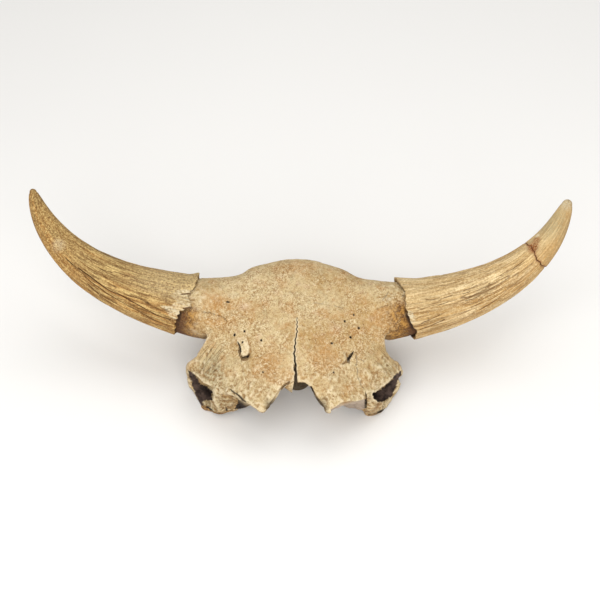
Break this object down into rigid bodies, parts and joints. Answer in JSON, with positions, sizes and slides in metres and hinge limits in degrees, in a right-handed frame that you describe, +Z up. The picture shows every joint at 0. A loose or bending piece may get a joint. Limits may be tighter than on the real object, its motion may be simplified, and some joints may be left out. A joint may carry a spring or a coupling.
{
  "type": "partial bison skull with horns",
  "caption": "Weathered brow, eye sockets, brain case and curved horns of a bison skull, broken off before the nose, lying with its forehead up.",
  "frame": {"origin": "on the table, below the middle of the part's bounding box", "axes": "+X to the viewer's right across the span of the horns, +Y away from the viewer towards the back of the head, +Z up"},
  "size_m": [0.7454, 0.2698, 0.2335],
  "materials": {
    "bone": "dry weathered bone, tan with yellow and orange-brown stains",
    "bone_dark": "dry porous bone, reddish brown",
    "horn_brown": "weathered fibrous horn, golden brown",
    "horn_tan": "weathered fibrous horn, pale tan"
  },
  "bodies": {
    "root": {"frontal_left": "bone", "frontal_right": "bone", "braincase": "bone_dark", "occipital": "bone", "orbit_left": "bone", "orbit_right": "bone", "horn_core_left": "bone_dark", "horn_core_right": "bone_dark", "horn_sheath_left": "horn_brown", "horn_sheath_right": "horn_tan", "horn_tip_right": "horn_tan"}
  },
  "joints": []
}
